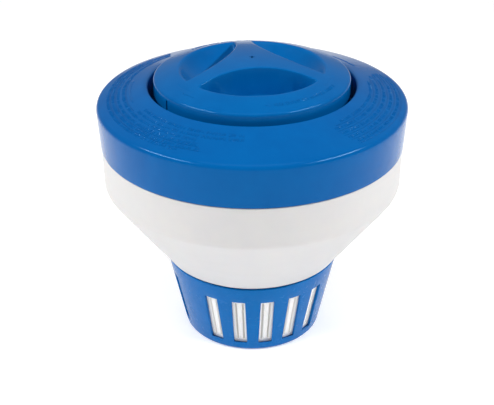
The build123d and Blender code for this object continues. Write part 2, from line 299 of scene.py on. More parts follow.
collar_corner = skirt_foot + SKIRT_HEIGHT
well_edge = collar_corner + CROWN_RISE
well_floor = well_edge - WELL_DEPTH
crown_slope = (well_edge - collar_corner) / (COLLAR_RADIUS - WELL_RADIUS)
under = COLLAR_WALL * math.hypot(1, crown_slope)


def crown_height(radius):
    return collar_corner + crown_slope * (COLLAR_RADIUS - radius)


ring_outside = [
    (COLLAR_RADIUS - SKIRT_DRAFT - COLLAR_WALL, skirt_foot),
    (COLLAR_RADIUS - SKIRT_DRAFT, skirt_foot, 0.5),
    (COLLAR_RADIUS, collar_corner, 3.6),
    (WELL_RADIUS, well_edge, 1.1),
    (WELL_RADIUS, well_floor, 0.6),
    (neck_radius, well_floor, 0.6),
    (neck_radius, neck_top, 0.4),
    (neck_radius - COLLAR_WALL, neck_top),
]
ring_inside = [
    (neck_radius - COLLAR_WALL, well_floor - NECK_DROP),
    (neck_radius, well_floor - NECK_DROP, 0.3),
    (neck_radius, well_floor - COLLAR_WALL, 0.6),
    (WELL_RADIUS + COLLAR_WALL, well_floor - COLLAR_WALL, 0.8),
    (WELL_RADIUS + COLLAR_WALL, crown_height(WELL_RADIUS + COLLAR_WALL) - under, 1.0),
    (COLLAR_RADIUS - COLLAR_WALL - 0.1, collar_corner - COLLAR_WALL, 1.5),
    (COLLAR_RADIUS - SKIRT_DRAFT - COLLAR_WALL, skirt_foot),
]
ring_outline = divided(rounded(ring_outside), longest=5.0)
ring_outline += divided(rounded(ring_inside), longest=12.0)
blue_ring = lathe("blue_ring", ring_outline, steps=288)
stand_for(blue_ring, "top_collar", "float")

# %% [markdown]
# ## The thread on the neck
# Three ridges climb round the neck, and three short lugs inside the lid ride under them, so a sixth
# of a turn pulls the lid down on its gasket. The Screw operator would sweep them too, but wrapping
# is easier to follow: a straight bar is cut into short lengths, then every point of it is moved
# round the axis and up with the lead of the thread.

# %% Wrap straight bars into a thread
THREAD_LEAD = 60.0
THREAD_DEPTH = 1.7
THREAD_HEIGHT = 2.4
THREAD_ROOT = 1.0
THREAD_STARTS = (0, 120, 240)
RIDGE_SWEEP = 56.0
BAR_BEVEL = 0.12
ridge_foot = well_floor + 4.4


def bar(name, inside, outside, first, last, foot, height, rise=0.0, step=2.0):
    """A bar from one bearing to another between two radii; its ends are a little tapered."""
    deselect()
    bpy.ops.mesh.primitive_cube_add(size=1)
    piece = bpy.context.object
    piece.name = name
    piece.data.name = name
    edit(piece)
    bpy.ops.mesh.bevel(offset=BAR_BEVEL, segments=2, affect="EDGES")
    cuts = max(2, round((last - first) / step))
    for k in range(1, cuts):
        bpy.ops.mesh.select_all(action="SELECT")
        bpy.ops.mesh.bisect(plane_co=(k / cuts - 0.5, 0, 0), plane_no=(1, 0, 0))
    done()
    for vertex in piece.data.vertices:
        along, across, up = vertex.co
        bearing = first + (last - first) * (along + 0.5)
        radius = inside + (outside - inside) * (across + 0.5)
        level = foot + height * (up + 0.5) + rise * (along + 0.5)
        vertex.co = on_bearing(radius, bearing, level)
    edit(piece)
    bpy.ops.mesh.normals_make_consistent(inside=False)
    done()
    return piece


def join(piece, others):
    deselect()
    for other in others:
        other.select_set(True)
    piece.select_set(True)
    bpy.context.view_layer.objects.active = piece
    bpy.ops.object.join()


ridges = []
for start in THREAD_STARTS:
    ridges.append(bar("ridge", neck_radius - THREAD_ROOT, neck_radius + THREAD_DEPTH,
                      start, start + RIDGE_SWEEP, ridge_foot, THREAD_HEIGHT,
                      rise=THREAD_LEAD * RIDGE_SWEEP / 360))
join(blue_ring, ridges)
print("blue ring with its thread:", len(blue_ring.data.polygons), "faces")

# %% [markdown]
# ## The lid's dome and its three finger hollows
# The lid is a shallow dome with three lens-shaped hollows. The ribs left between them are the grip.
# Booleans would cut the hollows, but a bevel afterwards breaks on the slivers they leave, and the
# soft edge of a hollow is what catches the light here. So the dome's height is written as a
# function of place: the lower of the dome and the scoop, with a drafted wall, a rounded lip and a
# rounded foot. A triangulated disc, with rows of points laid along each lip, is then lifted to it.

# %% The height of the dome, outside and inside
CAP_WALL = 2.4
DOME_RISE = 12.2
HOLLOW_COUNT = 3
HOLLOW_BEARING = 7.8
HOLLOW_OUTER = 46.0
HOLLOW_INNER = 16.3
HOLLOW_HALF_ANGLE = math.radians(52)
HOLLOW_DEPTH = 19.0
HOLLOW_FLAT = 5.0
LIP_ROUND = 0.8
FOOT_ROUND = 1.2
WALL_DRAFT = 0.3
SCOOP_BLEND = 3.2
SCOOP_LIMIT = 0.97
SCOOP_RUNAWAY = 4
CREASE_RADIUS = 52.4
CREASE_DEPTH = 0.16
CREASE_WIDTH = 0.8
NEVER_ZERO = 1e-6

cap_rim = cap_top - DOME_RISE
dome_radius = (cap_radius**2 + DOME_RISE**2) / (2 * DOME_RISE)
dome_centre = cap_top - dome_radius
tip_x = HOLLOW_OUTER * math.cos(HOLLOW_HALF_ANGLE)
tip_y = HOLLOW_OUTER * math.sin(HOLLOW_HALF_ANGLE)
inner_arc = (tip_y**2 + (tip_x - HOLLOW_INNER) ** 2) / (2 * (tip_x - HOLLOW_INNER))
arc_centre = HOLLOW_INNER + inner_arc
hollow_floor = dome_centre + math.sqrt(dome_radius**2 - HOLLOW_INNER**2) - HOLLOW_DEPTH
scoop_start = HOLLOW_INNER + HOLLOW_FLAT
scoop_run = HOLLOW_OUTER - scoop_start
scoop_rise = dome_centre + math.sqrt(dome_radius**2 - HOLLOW_OUTER**2) - hollow_floor
scoop_radius = (scoop_run**2 + scoop_rise**2) / (2 * scoop_rise)
scoop_centre = hollow_floor + scoop_radius


def in_hollow(x, y):
    """A place seen from the nearest hollow: its distance from the axis and from the inner arc."""
    first = math.radians(HOLLOW_BEARING - 90)
    third = 2 * math.pi / HOLLOW_COUNT
    turn = (np.arctan2(y, x) - first + third / 2) % third - third / 2
    radius = np.hypot(x, y)
    across = np.hypot(radius * np.cos(turn) - arc_centre, radius * np.sin(turn))
    return radius, across - inner_arc


def dome_height(x, y, wall=0.0):
    """Height of the dome with its hollows; a wall above nothing gives the surface underneath."""
    radius, outside = in_hollow(x, y)
    dome = dome_centre + np.sqrt((dome_radius - wall) ** 2 - radius**2)
    reach = scoop_radius + wall
    run = np.clip(radius - scoop_start, 0, reach * SCOOP_LIMIT)
    past = np.maximum(radius - scoop_start - run, 0)
    scoop = scoop_centre - np.sqrt(reach**2 - run**2) + past * SCOOP_RUNAWAY
    near = np.maximum(SCOOP_BLEND - np.abs(scoop - dome), 0) / SCOOP_BLEND
    floor = np.minimum(scoop, dome) - near**2 * SCOOP_BLEND / 4
    drop = dome - floor
    size = np.clip(drop / (LIP_ROUND + FOOT_ROUND), 0, 1)
    lip, foot = LIP_ROUND * size + NEVER_ZERO, FOOT_ROUND * size + NEVER_ZERO
    place = outside - wall
    on_lip = np.clip(1 - place / lip, 0, 1)
    on_foot = np.clip(1 + (place + WALL_DRAFT) / foot, 0, 1)
    over = dome - lip * (1 - np.sqrt(1 - on_lip**2))
    under = floor + foot * (1 - np.sqrt(1 - on_foot**2))
    share = np.clip((place + WALL_DRAFT) / WALL_DRAFT, 0, 1)
    on_wall = under + (dome - lip - under) * share
    if wall == 0:
        over = over - CREASE_DEPTH * np.exp(-(((radius - CREASE_RADIUS) / CREASE_WIDTH) ** 2))
    return np.where(place >= 0, over, np.where(place <= -WALL_DRAFT, under, on_wall))


print("hollow floor at", round(hollow_floor, 2), "mm, scoop radius", round(scoop_radius, 1), "mm")

# %% [markdown]
# ## A triangulated disc, finer along the lips
# Rings of points cover the disc, and closer rows follow the two arcs of each hollow, where the
# surface turns quickly. Delaunay's rule joins them all into well-shaped triangles, so no face is
# wasted on the flat of the dome.

# %% Lay rows of points along a hollow
ROUND_SHARES = (0, 0.134, 0.5, 1.0, 2.0)
OUTER_ROWS = (-2.4, -1.4, -0.9, -0.6, -0.3, 0, 0.3, 0.6, 0.9, 1.4, 2.4)
ROW_SPACING = 0.8
INNER_OVERRUN = 1.03
OUTER_OVERRUN = 1.04


def rows_along_hollow(wall):
    """Rows of points along the arcs of one hollow, in the hollow's own directions."""
    rows = []
    lip = [wall + LIP_ROUND * k for k in ROUND_SHARES]
    foot = [wall - WALL_DRAFT - FOOT_ROUND * k for k in ROUND_SHARES]
    for offset in lip + foot:
        radius = inner_arc + offset
        sweep = math.asin(min(1.0, (tip_y + wall) / radius)) * INNER_OVERRUN
        count = round(2 * sweep * radius / ROW_SPACING)
        for k in range(count + 1):
            turn = sweep * (2 * k / count - 1)
            rows.append((arc_centre - radius * math.cos(turn), radius * math.sin(turn)))
    for offset in OUTER_ROWS:
        radius = HOLLOW_OUTER + wall + offset
        count = round(2 * HOLLOW_HALF_ANGLE * radius / ROW_SPACING)
        for k in range(count + 1):
            turn = HOLLOW_HALF_ANGLE * OUTER_OVERRUN * (2 * k / count - 1)
            rows.append((radius * math.cos(turn), radius * math.sin(turn)))
    return rows


print("one hollow has", len(rows_along_hollow(0.0)), "points along its arcs")

# %% Fill a disc with points and lift it
SAME_POINT = 0.09
CROWD_CELL = 0.6
RING_GAP = 1.6
POINT_SPACING = 1.7
RING_TWIST = 0.37
CREASE_ROWS = (-1.0, -0.5, 0, 0.5, 1.0)


def disc(name, rim, columns, wall=0.0):
    """A disc of triangles out to a rim, at the dome's height."""
    points = [(rim * math.cos(2 * math.pi * k / columns), rim * math.sin(2 * math.pi * k / columns))
              for k in range(columns)]
    taken = set()
    crowded = set()

    def is_new(x, y):
        key = (round(x / SAME_POINT), round(y / SAME_POINT))
        fresh = key not in taken
        taken.add(key)
        return fresh

    for i in range(HOLLOW_COUNT):
        turn = math.radians(HOLLOW_BEARING - 90 + 360 * i / HOLLOW_COUNT)
        for x, y in rows_along_hollow(wall):
            place = (x * math.cos(turn) - y * math.sin(turn),
                     x * math.sin(turn) + y * math.cos(turn))
            if math.hypot(*place) < rim - 1.0 and is_new(*place):
                points.append(place)
                column, row = round(place[0] / CROWD_CELL), round(place[1] / CROWD_CELL)
                crowded.update((column + a, row + b) for a in (-1, 0, 1) for b in (-1, 0, 1))
    rings = [rim - RING_GAP * k for k in range(1, int(rim / RING_GAP))]
    if wall == 0:
        rings += [CREASE_RADIUS + offset for offset in CREASE_ROWS]
    for radius in rings:
        count = max(6, round(2 * math.pi * radius / POINT_SPACING))
        for k in range(count):
            turn = 2 * math.pi * (k + RING_TWIST * radius) / count
            place = (radius * math.cos(turn), radius * math.sin(turn))
            if (round(place[0] / CROWD_CELL), round(place[1] / CROWD_CELL)) not in crowded:
                points.append(place)
    points.append((0.0, 0.0))
    flat = [Vector(p) for p in points]
    laid, _, faces, _, _, _ = delaunay_2d_cdt(flat, [], [], 0, 1e-7)
    places = np.array([(p.x, p.y) for p in laid])
    heights = dome_height(places[:, 0], places[:, 1], wall)
    mesh = bpy.data.meshes.new(name)
    mesh.from_pydata([(x * mm, y * mm, z * mm) for (x, y), z in zip(places, heights)], [], faces)
    piece = bpy.data.objects.new(name, mesh)
    bpy.context.collection.objects.link(piece)
    print(f"{name}: {len(places)} points")
    return piece


# %% Make the top and the underside of the dome
CAP_COLUMNS = 288
PATCH_RADIUS = 57.0
BASKET_WALL = 2.0
BASKET_CLEARANCE = 0.3
gasket_bore = neck_radius - COLLAR_WALL - BASKET_CLEARANCE - BASKET_WALL
under_radius = gasket_bore - CAP_WALL
dome_patch = disc("dome_patch", PATCH_RADIUS, CAP_COLUMNS)
under_patch = disc("under_patch", under_radius, CAP_COLUMNS, CAP_WALL)

# %% [markdown]
# ## The lid's skirt
# Round the dome the lid is a plain turned shape again: a rounded rim, a straight skirt that slides
# down into the well, and a ledge underneath for the gasket. It is spun with as many columns as the
# discs have points on their edge, so that the three parts weld into one closed body.

# %% Spin the skirt and weld the discs to it
LAND_DEPTH = 1.2
RIM_START = 59.5
RIM_ROUND = 2.2
PATCH_WELD = 0.02
LID_CREASE = 48
cap_land = cap_rim - LAND_DEPTH


def dome_at(radius, wall=0.0):
    return dome_centre + math.sqrt((dome_radius - wall) ** 2 - radius**2)


skirt_outside = [
    (PATCH_RADIUS, dome_at(PATCH_RADIUS)),
    (RIM_START, dome_at(RIM_START)),
    (cap_radius, cap_rim + 0.1, RIM_ROUND),
    (cap_radius, cap_foot, 0.6),
    (cap_radius - CAP_WALL, cap_foot, 0.6),
    (cap_radius - CAP_WALL, cap_land, 0.5),
    (under_radius, cap_land, 0.3),
    (under_radius, dome_at(under_radius, CAP_WALL)),
]
skirt_line = divided(rounded(skirt_outside), longest=5.0)
cap_lid = lathe("cap_lid", skirt_line, steps=CAP_COLUMNS, crease=LID_CREASE)
join(cap_lid, [dome_patch, under_patch])
edit(cap_lid)
bpy.ops.mesh.remove_doubles(threshold=PATCH_WELD * mm)
bpy.ops.mesh.normals_make_consistent(inside=False)
done()
uses = Counter(key for face in cap_lid.data.polygons for key in face.edge_keys)
open_edges = sum(1 for count in uses.values() if count != 2)
print("cap_lid:", len(cap_lid.data.polygons), "faces,", open_edges, "open edges")

# %% [markdown]
# ## Small cuts in the lid
# A cross-shaped vent in the middle lets gas out, and a narrow slit opens the lid's skirt. Both are
# plain holes far from any rounded edge, so a Boolean does them well.

# %% Cut the vent and the slit
VENT_LENGTH = 3.4
VENT_WIDTH = 0.9
VENT_TOOL_HEIGHT = 9.0
SLIT_BEARING = -56.0
SLIT_WIDTH = 1.5
SLIT_DEPTH = 4.5
SLIT_TOP_GAP = 2.4
TOOL_MARGIN = 3
for size in ((VENT_LENGTH, VENT_WIDTH), (VENT_WIDTH, VENT_LENGTH)):
    deselect()
    bpy.ops.mesh.primitive_cube_add(size=mm, location=Vector((0, 0, cap_top)) * mm,
                                    scale=(size[0], size[1], VENT_TOOL_HEIGHT))
    bpy.ops.object.transform_apply(location=True, rotation=True, scale=True)
    cut(cap_lid, bpy.context.object)

half_slit = math.degrees(SLIT_WIDTH / 2 / cap_radius)
slit = bar("slit", cap_radius - SLIT_DEPTH, cap_radius + TOOL_MARGIN,
           SLIT_BEARING - half_slit, SLIT_BEARING + half_slit, cap_foot - TOOL_MARGIN,
           cap_rim - SLIT_TOP_GAP - cap_foot + TOOL_MARGIN, step=5)
cut(cap_lid, slit)

# %% [markdown]
# ## Lugs inside the lid
# Three short lugs stand on the inside of the skirt, a little further round than the ends of the
# ridges and just below them. They are bars wrapped with the same lead, joined on without cutting.

# %% Add the lugs
LUG_LAG = 12.0
LUG_SWEEP = 14.0
LUG_GAP = 0.35
lug_foot = ridge_foot + THREAD_LEAD * LUG_LAG / 360 - THREAD_HEIGHT - LUG_GAP
skirt_bore = cap_radius - CAP_WALL
lugs = []
for ridge_start in THREAD_STARTS:
    start = ridge_start + LUG_LAG
    lugs.append(bar("lug", skirt_bore - THREAD_DEPTH, skirt_bore + THREAD_ROOT,
                    start, start + LUG_SWEEP, lug_foot, THREAD_HEIGHT,
                    rise=THREAD_LEAD * LUG_SWEEP / 360))
join(cap_lid, lugs)
smooth(cap_lid, LID_CREASE)
stand_for(cap_lid, "cap", "lid")
print("cap_lid:", len(cap_lid.data.polygons), "faces")

# %% [markdown]
# ## Columns that follow the openings
# The cup has fifteen windows and the basket behind it has two slits for each. Cutting them with
# Booleans leaves long thin faces on a round wall. Instead the columns of the spun shape are slid
# round until some of them lie on the edges of the openings. The faces between those columns are
# then bridged through the wall, which makes a clean tunnel that a bevel can round.

# %% Slide columns
CELL = 20.0
WINDOW_BEARING = 10.5
WINDOW_SILL = 6.7
SILL_DROP = 1.5
WINDOW_HEAD = 43.5
CELLS_PER_GROUP = 6
BLANK_CELL = 3
COLUMNS = 360
COLUMN_RADIUS = 44.0


def mirrored(half):
    """Column places for a whole cell from its first half, which starts on a window's middle."""
    return half + [CELL / 2] + [CELL - offset for offset in half[:0:-1]]


def slide_columns(piece, offsets, edges):
    """Give each cell of columns its offsets; an edge column keeps a constant width in mm."""
    pitch = CELL / len(offsets)
    start = math.radians(WINDOW_BEARING - 90)
    for vertex in piece.data.vertices:
        radius = math.hypot(vertex.co.x, vertex.co.y)
        if radius < 1e-7:
            continue
        column = round(math.degrees(math.atan2(vertex.co.y, vertex.co.x)) / pitch)
        cell, place = divmod(column, len(offsets))
        turn = math.radians(offsets[place])
        if place in edges:
            middle, half_width = edges[place]
            reach = max(radius, COLUMN_RADIUS * mm)
            turn = math.radians(middle) + math.asin(half_width * mm / reach)
        turn += start + math.radians(CELL) * cell
        vertex.co.x, vertex.co.y = radius * math.cos(turn), radius * math.sin(turn)


# %% Bridge openings and round their edges
def has_window(cell):
    return cell % CELLS_PER_GROUP != BLANK_CELL


def open_between(piece, low, high, near, spans, outer_low):
    """Bridge the two walls between two heights and inside spans of bearings in each cell."""
    edit(piece)
    bpy.ops.mesh.select_all(action="DESELECT")
    mesh = bmesh.from_edit_mesh(piece.data)
    start = math.radians(WINDOW_BEARING - 90)
    for face in mesh.faces:
        centre = face.calc_center_median()
        if not low * mm < centre.z < high * mm or math.hypot(centre.x, centre.y) < near * mm:
            continue
        if face.normal.x * centre.x + face.normal.y * centre.y > 0 and centre.z < outer_low * mm:
            continue
        turn = math.degrees(math.atan2(centre.y, centre.x) - start) + CELL / 2
        cell, place = divmod(turn, CELL)
        place -= CELL / 2
        if has_window(cell) and any(first < place < last for first, last in spans):
            face.select_set(True)
    bmesh.update_edit_mesh(piece.data)
    bpy.ops.mesh.delete(type="FACE")
    bpy.ops.mesh.select_mode(type="EDGE")
    bpy.ops.mesh.select_non_manifold()
    bpy.ops.mesh.bridge_edge_loops(type="PAIRS")
    bpy.ops.mesh.select_mode(type="VERT")
    bpy.ops.mesh.select_all(action="SELECT")
    bpy.ops.mesh.normals_make_consistent(inside=False)
    done()


def bevel_edges(piece, width, angle=50, segments=3):
    modifier = piece.modifiers.new("round", "BEVEL")
    modifier.width = width * mm
    modifier.segments = segments
    modifier.limit_method = "ANGLE"
    modifier.angle_limit = math.radians(angle)
    modifier.use_clamp_overlap = False
    apply_modifiers(piece)


# %% [markdown]
# ## The blue cup
# The cup tapers towards its foot and turns round the basket. Its windows are straight-sided and as
# wide at the bottom as at the top, within a fraction of a millimetre, while the bars between them
# narrow with the cup.

# %% Spin the cup and open its windows
CUP_WALL = 2.0
CUP_FOOT_RADIUS = 46.5
INSIDE_CUP_WALL = 40
CUP_TAPER = 11.8
WINDOW_WIDTH = 8.9
WINDOW_SPANS = [(-5.3, 5.3)]
FOOT_RECESS = 2.4
FOOT_RING = 2.6
FLOOR = 2.2
CUP_PIVOT_BORE = 5.05
EDGE_COLUMN = 5
wall_slope = CUP_TAPER / cup_height
wall_across = CUP_WALL * math.hypot(1, wall_slope)


def cup_outside(height):
    return CUP_FOOT_RADIUS + wall_slope * height


def cup_bore(height):
    return cup_outside(height) - wall_across


cup_corners = [
    (CUP_PIVOT_BORE, FOOT_RECESS),
    (cup_bore(0) - FOOT_RING, FOOT_RECESS, 0.5),
    (cup_bore(0) - FOOT_RING, 0, 0.5),
    (CUP_FOOT_RADIUS, 0, 2.6),
    (cup_outside(WINDOW_SILL), WINDOW_SILL),
    (cup_outside(WINDOW_HEAD), WINDOW_HEAD),
    (cup_outside(cup_height), cup_height, 0.6),
    (cup_bore(cup_height), cup_height, 0.6),
    (cup_bore(WINDOW_HEAD), WINDOW_HEAD),
    (cup_bore(WINDOW_SILL - SILL_DROP), WINDOW_SILL - SILL_DROP),
    (cup_bore(FOOT_RECESS + FLOOR), FOOT_RECESS + FLOOR),
    (CUP_PIVOT_BORE, FOOT_RECESS + FLOOR),
]
cup_line = divided(rounded(cup_corners), longest=6.5)
flow_cup = lathe("flow_cup", cup_line + [cup_line[0]], steps=COLUMNS)
cup_columns = mirrored([0, 1.1, 2.2, 3.3, 4.3, 5, 6.6, 7.5, 8.3, 9.1])
slide_columns(flow_cup, cup_columns, {
    EDGE_COLUMN: (0, WINDOW_WIDTH / 2), len(cup_columns) - EDGE_COLUMN: (CELL, -WINDOW_WIDTH / 2)})
open_between(flow_cup, WINDOW_SILL - SILL_DROP, WINDOW_HEAD, INSIDE_CUP_WALL, WINDOW_SPANS,
             outer_low=WINDOW_SILL)
bevel_edges(flow_cup, 0.35)
print("flow_cup:", len(flow_cup.data.polygons), "faces")

# %% [markdown]
# ## The stop
# A pin stands on the cup's floor and runs in a short curved slot in the basket's floor, so the cup
# stops when its windows are fully open or closed. It's a rod far from the windows, so it is joined
# on with a Boolean.

# %% Stand the stop pin on the cup's floor
STOP_BEARING = -100.0
STOP_RADIUS = 30.0
STOP_PIN_RADIUS = 1.6
STOP_PIN_TOP = 7.3
pin_foot = FOOT_RECESS + 0.5
deselect()
bpy.ops.mesh.primitive_cylinder_add(
    vertices=32, radius=STOP_PIN_RADIUS * mm, depth=(STOP_PIN_TOP - pin_foot) * mm,
    location=on_bearing(STOP_RADIUS, STOP_BEARING, (STOP_PIN_TOP + pin_foot) / 2))
stop_pin = bpy.context.object
bpy.ops.object.transform_apply(location=True, rotation=True, scale=True)
bevel_edges(stop_pin, 0.3)
cut(flow_cup, stop_pin, "UNION")
smooth(flow_cup, 40)
print("flow_cup:", len(flow_cup.data.polygons), "faces")
stand_for(flow_cup, "flow_regulator", "regulator")

# %% [markdown]
# ## The tablet basket
# The basket hangs by a flange under the lid and runs down the middle of the float, through the
# sleeve and into the cup. Its foot is slotted, two slits to each window, and its floor has ribs
# that keep the tablets off the bottom. It is spun and slotted in the same way as the cup.

# %% Spin the basket and slot its foot
BASKET_GAP = 0.5
RIVET_BORE = 5.0
FLANGE_HEIGHT = 2.0
SLIT_HALF = 0.7
SLIT_OFFSET = 2.6
SLIT_SPANS = [(-3.4, -1.8), (1.8, 3.4)]
INSIDE_BASKET_WALL = 38
slit_foot = WINDOW_SILL + 1.4
slit_head = WINDOW_HEAD - 2.5
basket_floor = basket_foot + FLOOR
knee_height = slit_head + 1.0
basket_top_radius = neck_radius - COLLAR_WALL - BASKET_CLEARANCE


def basket_outside(height):
    return cup_bore(height) - BASKET_GAP


basket_corners = [
    (RIVET_BORE, basket_foot),
    (basket_outside(basket_foot), basket_foot, 1.0),
    (basket_outside(slit_foot), slit_foot),
    (basket_outside(slit_head), slit_head),
    (basket_outside(knee_height + 0.6), knee_height + 0.6, 0.5),
    (basket_top_radius, basket_top - FLANGE_HEIGHT),
    (neck_radius, basket_top - FLANGE_HEIGHT, 0.3),
    (neck_radius, basket_top, 0.3),
    (basket_top_radius - BASKET_WALL, basket_top, 0.4),
    (basket_outside(knee_height) - BASKET_WALL, knee_height, 8.0),
    (basket_outside(slit_head) - BASKET_WALL, slit_head),
    (basket_outside(slit_foot) - BASKET_WALL, slit_foot),
    (basket_outside(basket_floor) - BASKET_WALL, basket_floor),
    (RIVET_BORE, basket_floor),
]
basket_line = divided(rounded(basket_corners), longest=7.0)
slotted_basket = lathe("slotted_basket", basket_line + [basket_line[0]], steps=COLUMNS)
basket_columns = mirrored([0, 0.85, 1.75, 2.6, 3.45, 4.4, 5.5, 6.6, 7.7, 8.85])
slide_columns(slotted_basket, basket_columns, {
    2: (SLIT_OFFSET, -SLIT_HALF), 4: (SLIT_OFFSET, SLIT_HALF),
    16: (CELL - SLIT_OFFSET, -SLIT_HALF), 18: (CELL - SLIT_OFFSET, SLIT_HALF)})
open_between(slotted_basket, slit_foot, slit_head, INSIDE_BASKET_WALL, SLIT_SPANS,
             outer_low=slit_foot)
bevel_edges(slotted_basket, 0.2, segments=2)
print("slotted_basket:", len(slotted_basket.data.polygons), "faces")

# %% [markdown]
# ## Ribs on the basket's floor
# Six low ribs run out from the pivot like spokes. One rounded bar is added for each and turned to
# its place; the six are joined to the floor in a single Boolean, and the slot for the stop pin is
# then cut through the floor and whatever stands over it.

# %% Add the ribs and cut the slot
RIB_COUNT = 6
RIB_MIDDLE = 26.0
RIB_SIZE = (28.0, 2.0, 3.2)
SLOT_HALF_WIDTH = 1.9
SLOT_SWEEP = 10.0
rib_tools = []
for k in range(RIB_COUNT):
    deselect()
    bpy.ops.mesh.primitive_cube_add(
        size=mm, location=Vector((RIB_MIDDLE, 0, basket_floor + 0.4)) * mm, scale=RIB_SIZE)
    bpy.ops.object.transform_apply(location=True, rotation=True, scale=True)
    rib = bpy.context.object
    edit(rib)
    bpy.ops.mesh.bevel(offset=0.3 * mm, segments=2, affect="EDGES")
    bpy.ops.transform.rotate(value=math.radians(360 / RIB_COUNT * k), orient_axis="Z",
                             center_override=(0, 0, 0))
    done()
    rib_tools.append(rib)
join(rib_tools[0], rib_tools[1:])
cut(slotted_basket, rib_tools[0], "UNION")
slot_half = math.degrees(SLOT_HALF_WIDTH / STOP_RADIUS)
stop_slot = bar("stop_slot", STOP_RADIUS - SLOT_HALF_WIDTH, STOP_RADIUS + SLOT_HALF_WIDTH,
                STOP_BEARING - slot_half, STOP_BEARING + SLOT_SWEEP + slot_half,
                basket_foot - 2, FLOOR + 6)
cut(slotted_basket, stop_slot)
smooth(slotted_basket, 40)
stand_for(slotted_basket, "tablet_basket", "float")
print("slotted_basket:", len(slotted_basket.data.polygons), "faces")

# %% [markdown]
# ## Raised marks
# Rows of shallow raised marks run round the ring and the lid, where a maker moulds directions and
# arrows. Here they are plain ticks, arcs and arrows that say nothing. One small bar is modelled,
# and each mark is a copy of it, stretched between two bearings and laid on the surface below.

# %% Model one mark
MARK_LIFT = 0.28
MARK_ROOT = 0.5
MARK_BEVEL = 0.14
deselect()
bpy.ops.mesh.primitive_cube_add(size=1)
tick = bpy.context.object
tick.name = "tick"
edit(tick)
bpy.ops.mesh.bevel(offset=MARK_BEVEL, segments=1, affect="EDGES")
for place in (-0.2, 0.2):
    bpy.ops.mesh.select_all(action="SELECT")
    bpy.ops.mesh.bisect(plane_co=(place, 0, 0), plane_no=(1, 0, 0))
done()
print("one mark has", len(tick.data.polygons), "faces")

# %% Lay copies of a mark on a surface
def marks(name, strips, surface):
    """Copy the bar along strips: first and last bearing, radius, width, and width at its end."""
    copies = []
    for first, last, radius, width, end_width in strips:
        mesh = tick.data.copy()
        for vertex in mesh.vertices:
            along, across, up = vertex.co
            share = along + 0.5
            place = radius + across * (width + (end_width - width) * share)
            level = surface(place) + (up + 0.5) * (MARK_LIFT + MARK_ROOT) - MARK_ROOT
            vertex.co = on_bearing(place, first + (last - first) * share, level)
        copy = bpy.data.objects.new(name, mesh)
        bpy.context.collection.objects.link(copy)
        copies.append(copy)
    join(copies[0], copies[1:])
    copies[0].data.name = name
    edit(copies[0])
    bpy.ops.mesh.normals_make_consistent(inside=False)
    done()
    smooth(copies[0], 30)
    print(f"{name}: {len(strips)} marks, {len(copies[0].data.polygons)} faces")
    return copies[0]


# %% Plan rows of ticks, arcs and arrows
TICK_WIDTHS = (0.45, 0.6, 1.0)
TICK_HEIGHTS = (1, 1, 1, 0.72)
TICK_GAP = (0.75, 1.05)
GROUP_GAP = 1.3


def ticks(radius, height, first, last, seed):
    """A row of upright ticks of uneven width, in uneven groups."""
    chance = random.Random(seed)
    row = []
    bearing = first
    left = chance.randint(3, 8)
    while bearing < last:
        wide = math.degrees(chance.choice(TICK_WIDTHS) / radius)
        tall = height * chance.choice(TICK_HEIGHTS)
        row.append((bearing, bearing + wide, radius, tall, tall))
        bearing += wide + math.degrees(chance.uniform(*TICK_GAP) / radius)
        left -= 1
        if left == 0:
            bearing += math.degrees(GROUP_GAP / radius)
            left = chance.randint(3, 9)
    return row


def arc(radius, width, first, last, step=6.0):
    """A line round the axis, laid as short strips that overlap a little."""
    count = max(1, round(abs(last - first) / step))
    sweep = last - first
    return [(first + sweep * k / count, first + sweep * (k + 1.02) / count, radius, width, width)
            for k in range(count)]


def arrow_head(radius, first, last, head):
    """A triangle that ends at the last bearing and points away from the first."""
    turn = math.copysign(math.degrees(1.4 * head / radius), last - first)
    return [(last - turn, last, radius, head, 0.1)]


def arrow(radius, first, last, width, head):
    """An arc that ends in a triangular head."""
    tip = arrow_head(radius, first, last, head)
    return arc(radius, width, first, tip[0][0]) + tip


print("a sample row has", len(ticks(80.0, 2.0, 0, 30, 0)), "ticks")

# %% [markdown]
# ## Marks on the ring
# The rows of the ring stand in two blocks, left and right of the front, with thin arcs between them
# and an arrow each side. A shorter row runs round the back.

# %% Lay the marks on the ring
TICK_ROWS = (
    (75.2, -60, -4), (78.8, -62, -3), (82.2, -136, -24), (85.6, -138, -22), (89.0, -140, -20),
    (92.3, -132, -28), (75.4, 44, 96), (79.6, 38, 104), (84.2, 39, 108), (88.6, 40, 110),
    (93.0, 42, 108), (78.8, 150, 214))
ARC_ROWS = (
    (80.5, -136, -64), (87.3, -139, -21), (90.7, -141, -19), (77.5, 40, 100), (82.0, 38, 106),
    (86.4, 39, 110), (90.8, 40, 111), (95.2, 42, 110))
ring_strips = []
for row, (radius, first, last) in enumerate(TICK_ROWS):
    ring_strips += ticks(radius, 2.1, first, last, seed=row)
for radius, first, last in ARC_ROWS:
    ring_strips += arc(radius, 0.4, first, last)
for first, last in ((-72, -99), (118, 145)):
    ring_strips += arrow(77.8, first, last, width=0.9, head=3.0)
ring_marks = marks("ring_marks", ring_strips, crown_height)
stand_for(ring_marks, None, "float")

# %% [markdown]
# ## Marks on the lid
# Two rows and two arrows run round the rim of the lid, outside the hollows.

# %% Lay the marks on the lid
lid_strips = ticks(55.6, 2.4, 14, 64, seed=21) + arrow_head(55.6, 62, 8, head=2.2)
lid_strips += arrow(55.4, -38, -49, width=0.7, head=2.0) + ticks(55.6, 2.2, 180, 225, seed=22)
lid_marks = marks("lid_marks", lid_strips, dome_at)
stand_for(lid_marks, None, "lid")
bpy.data.objects.remove(tick)

# %% [markdown]
# ## Shader sums in plain Python
# A finish is a small network of nodes. A wrapper lets sockets be added and multiplied in ordinary
# sums, so the recipe for a finish reads as a formula.

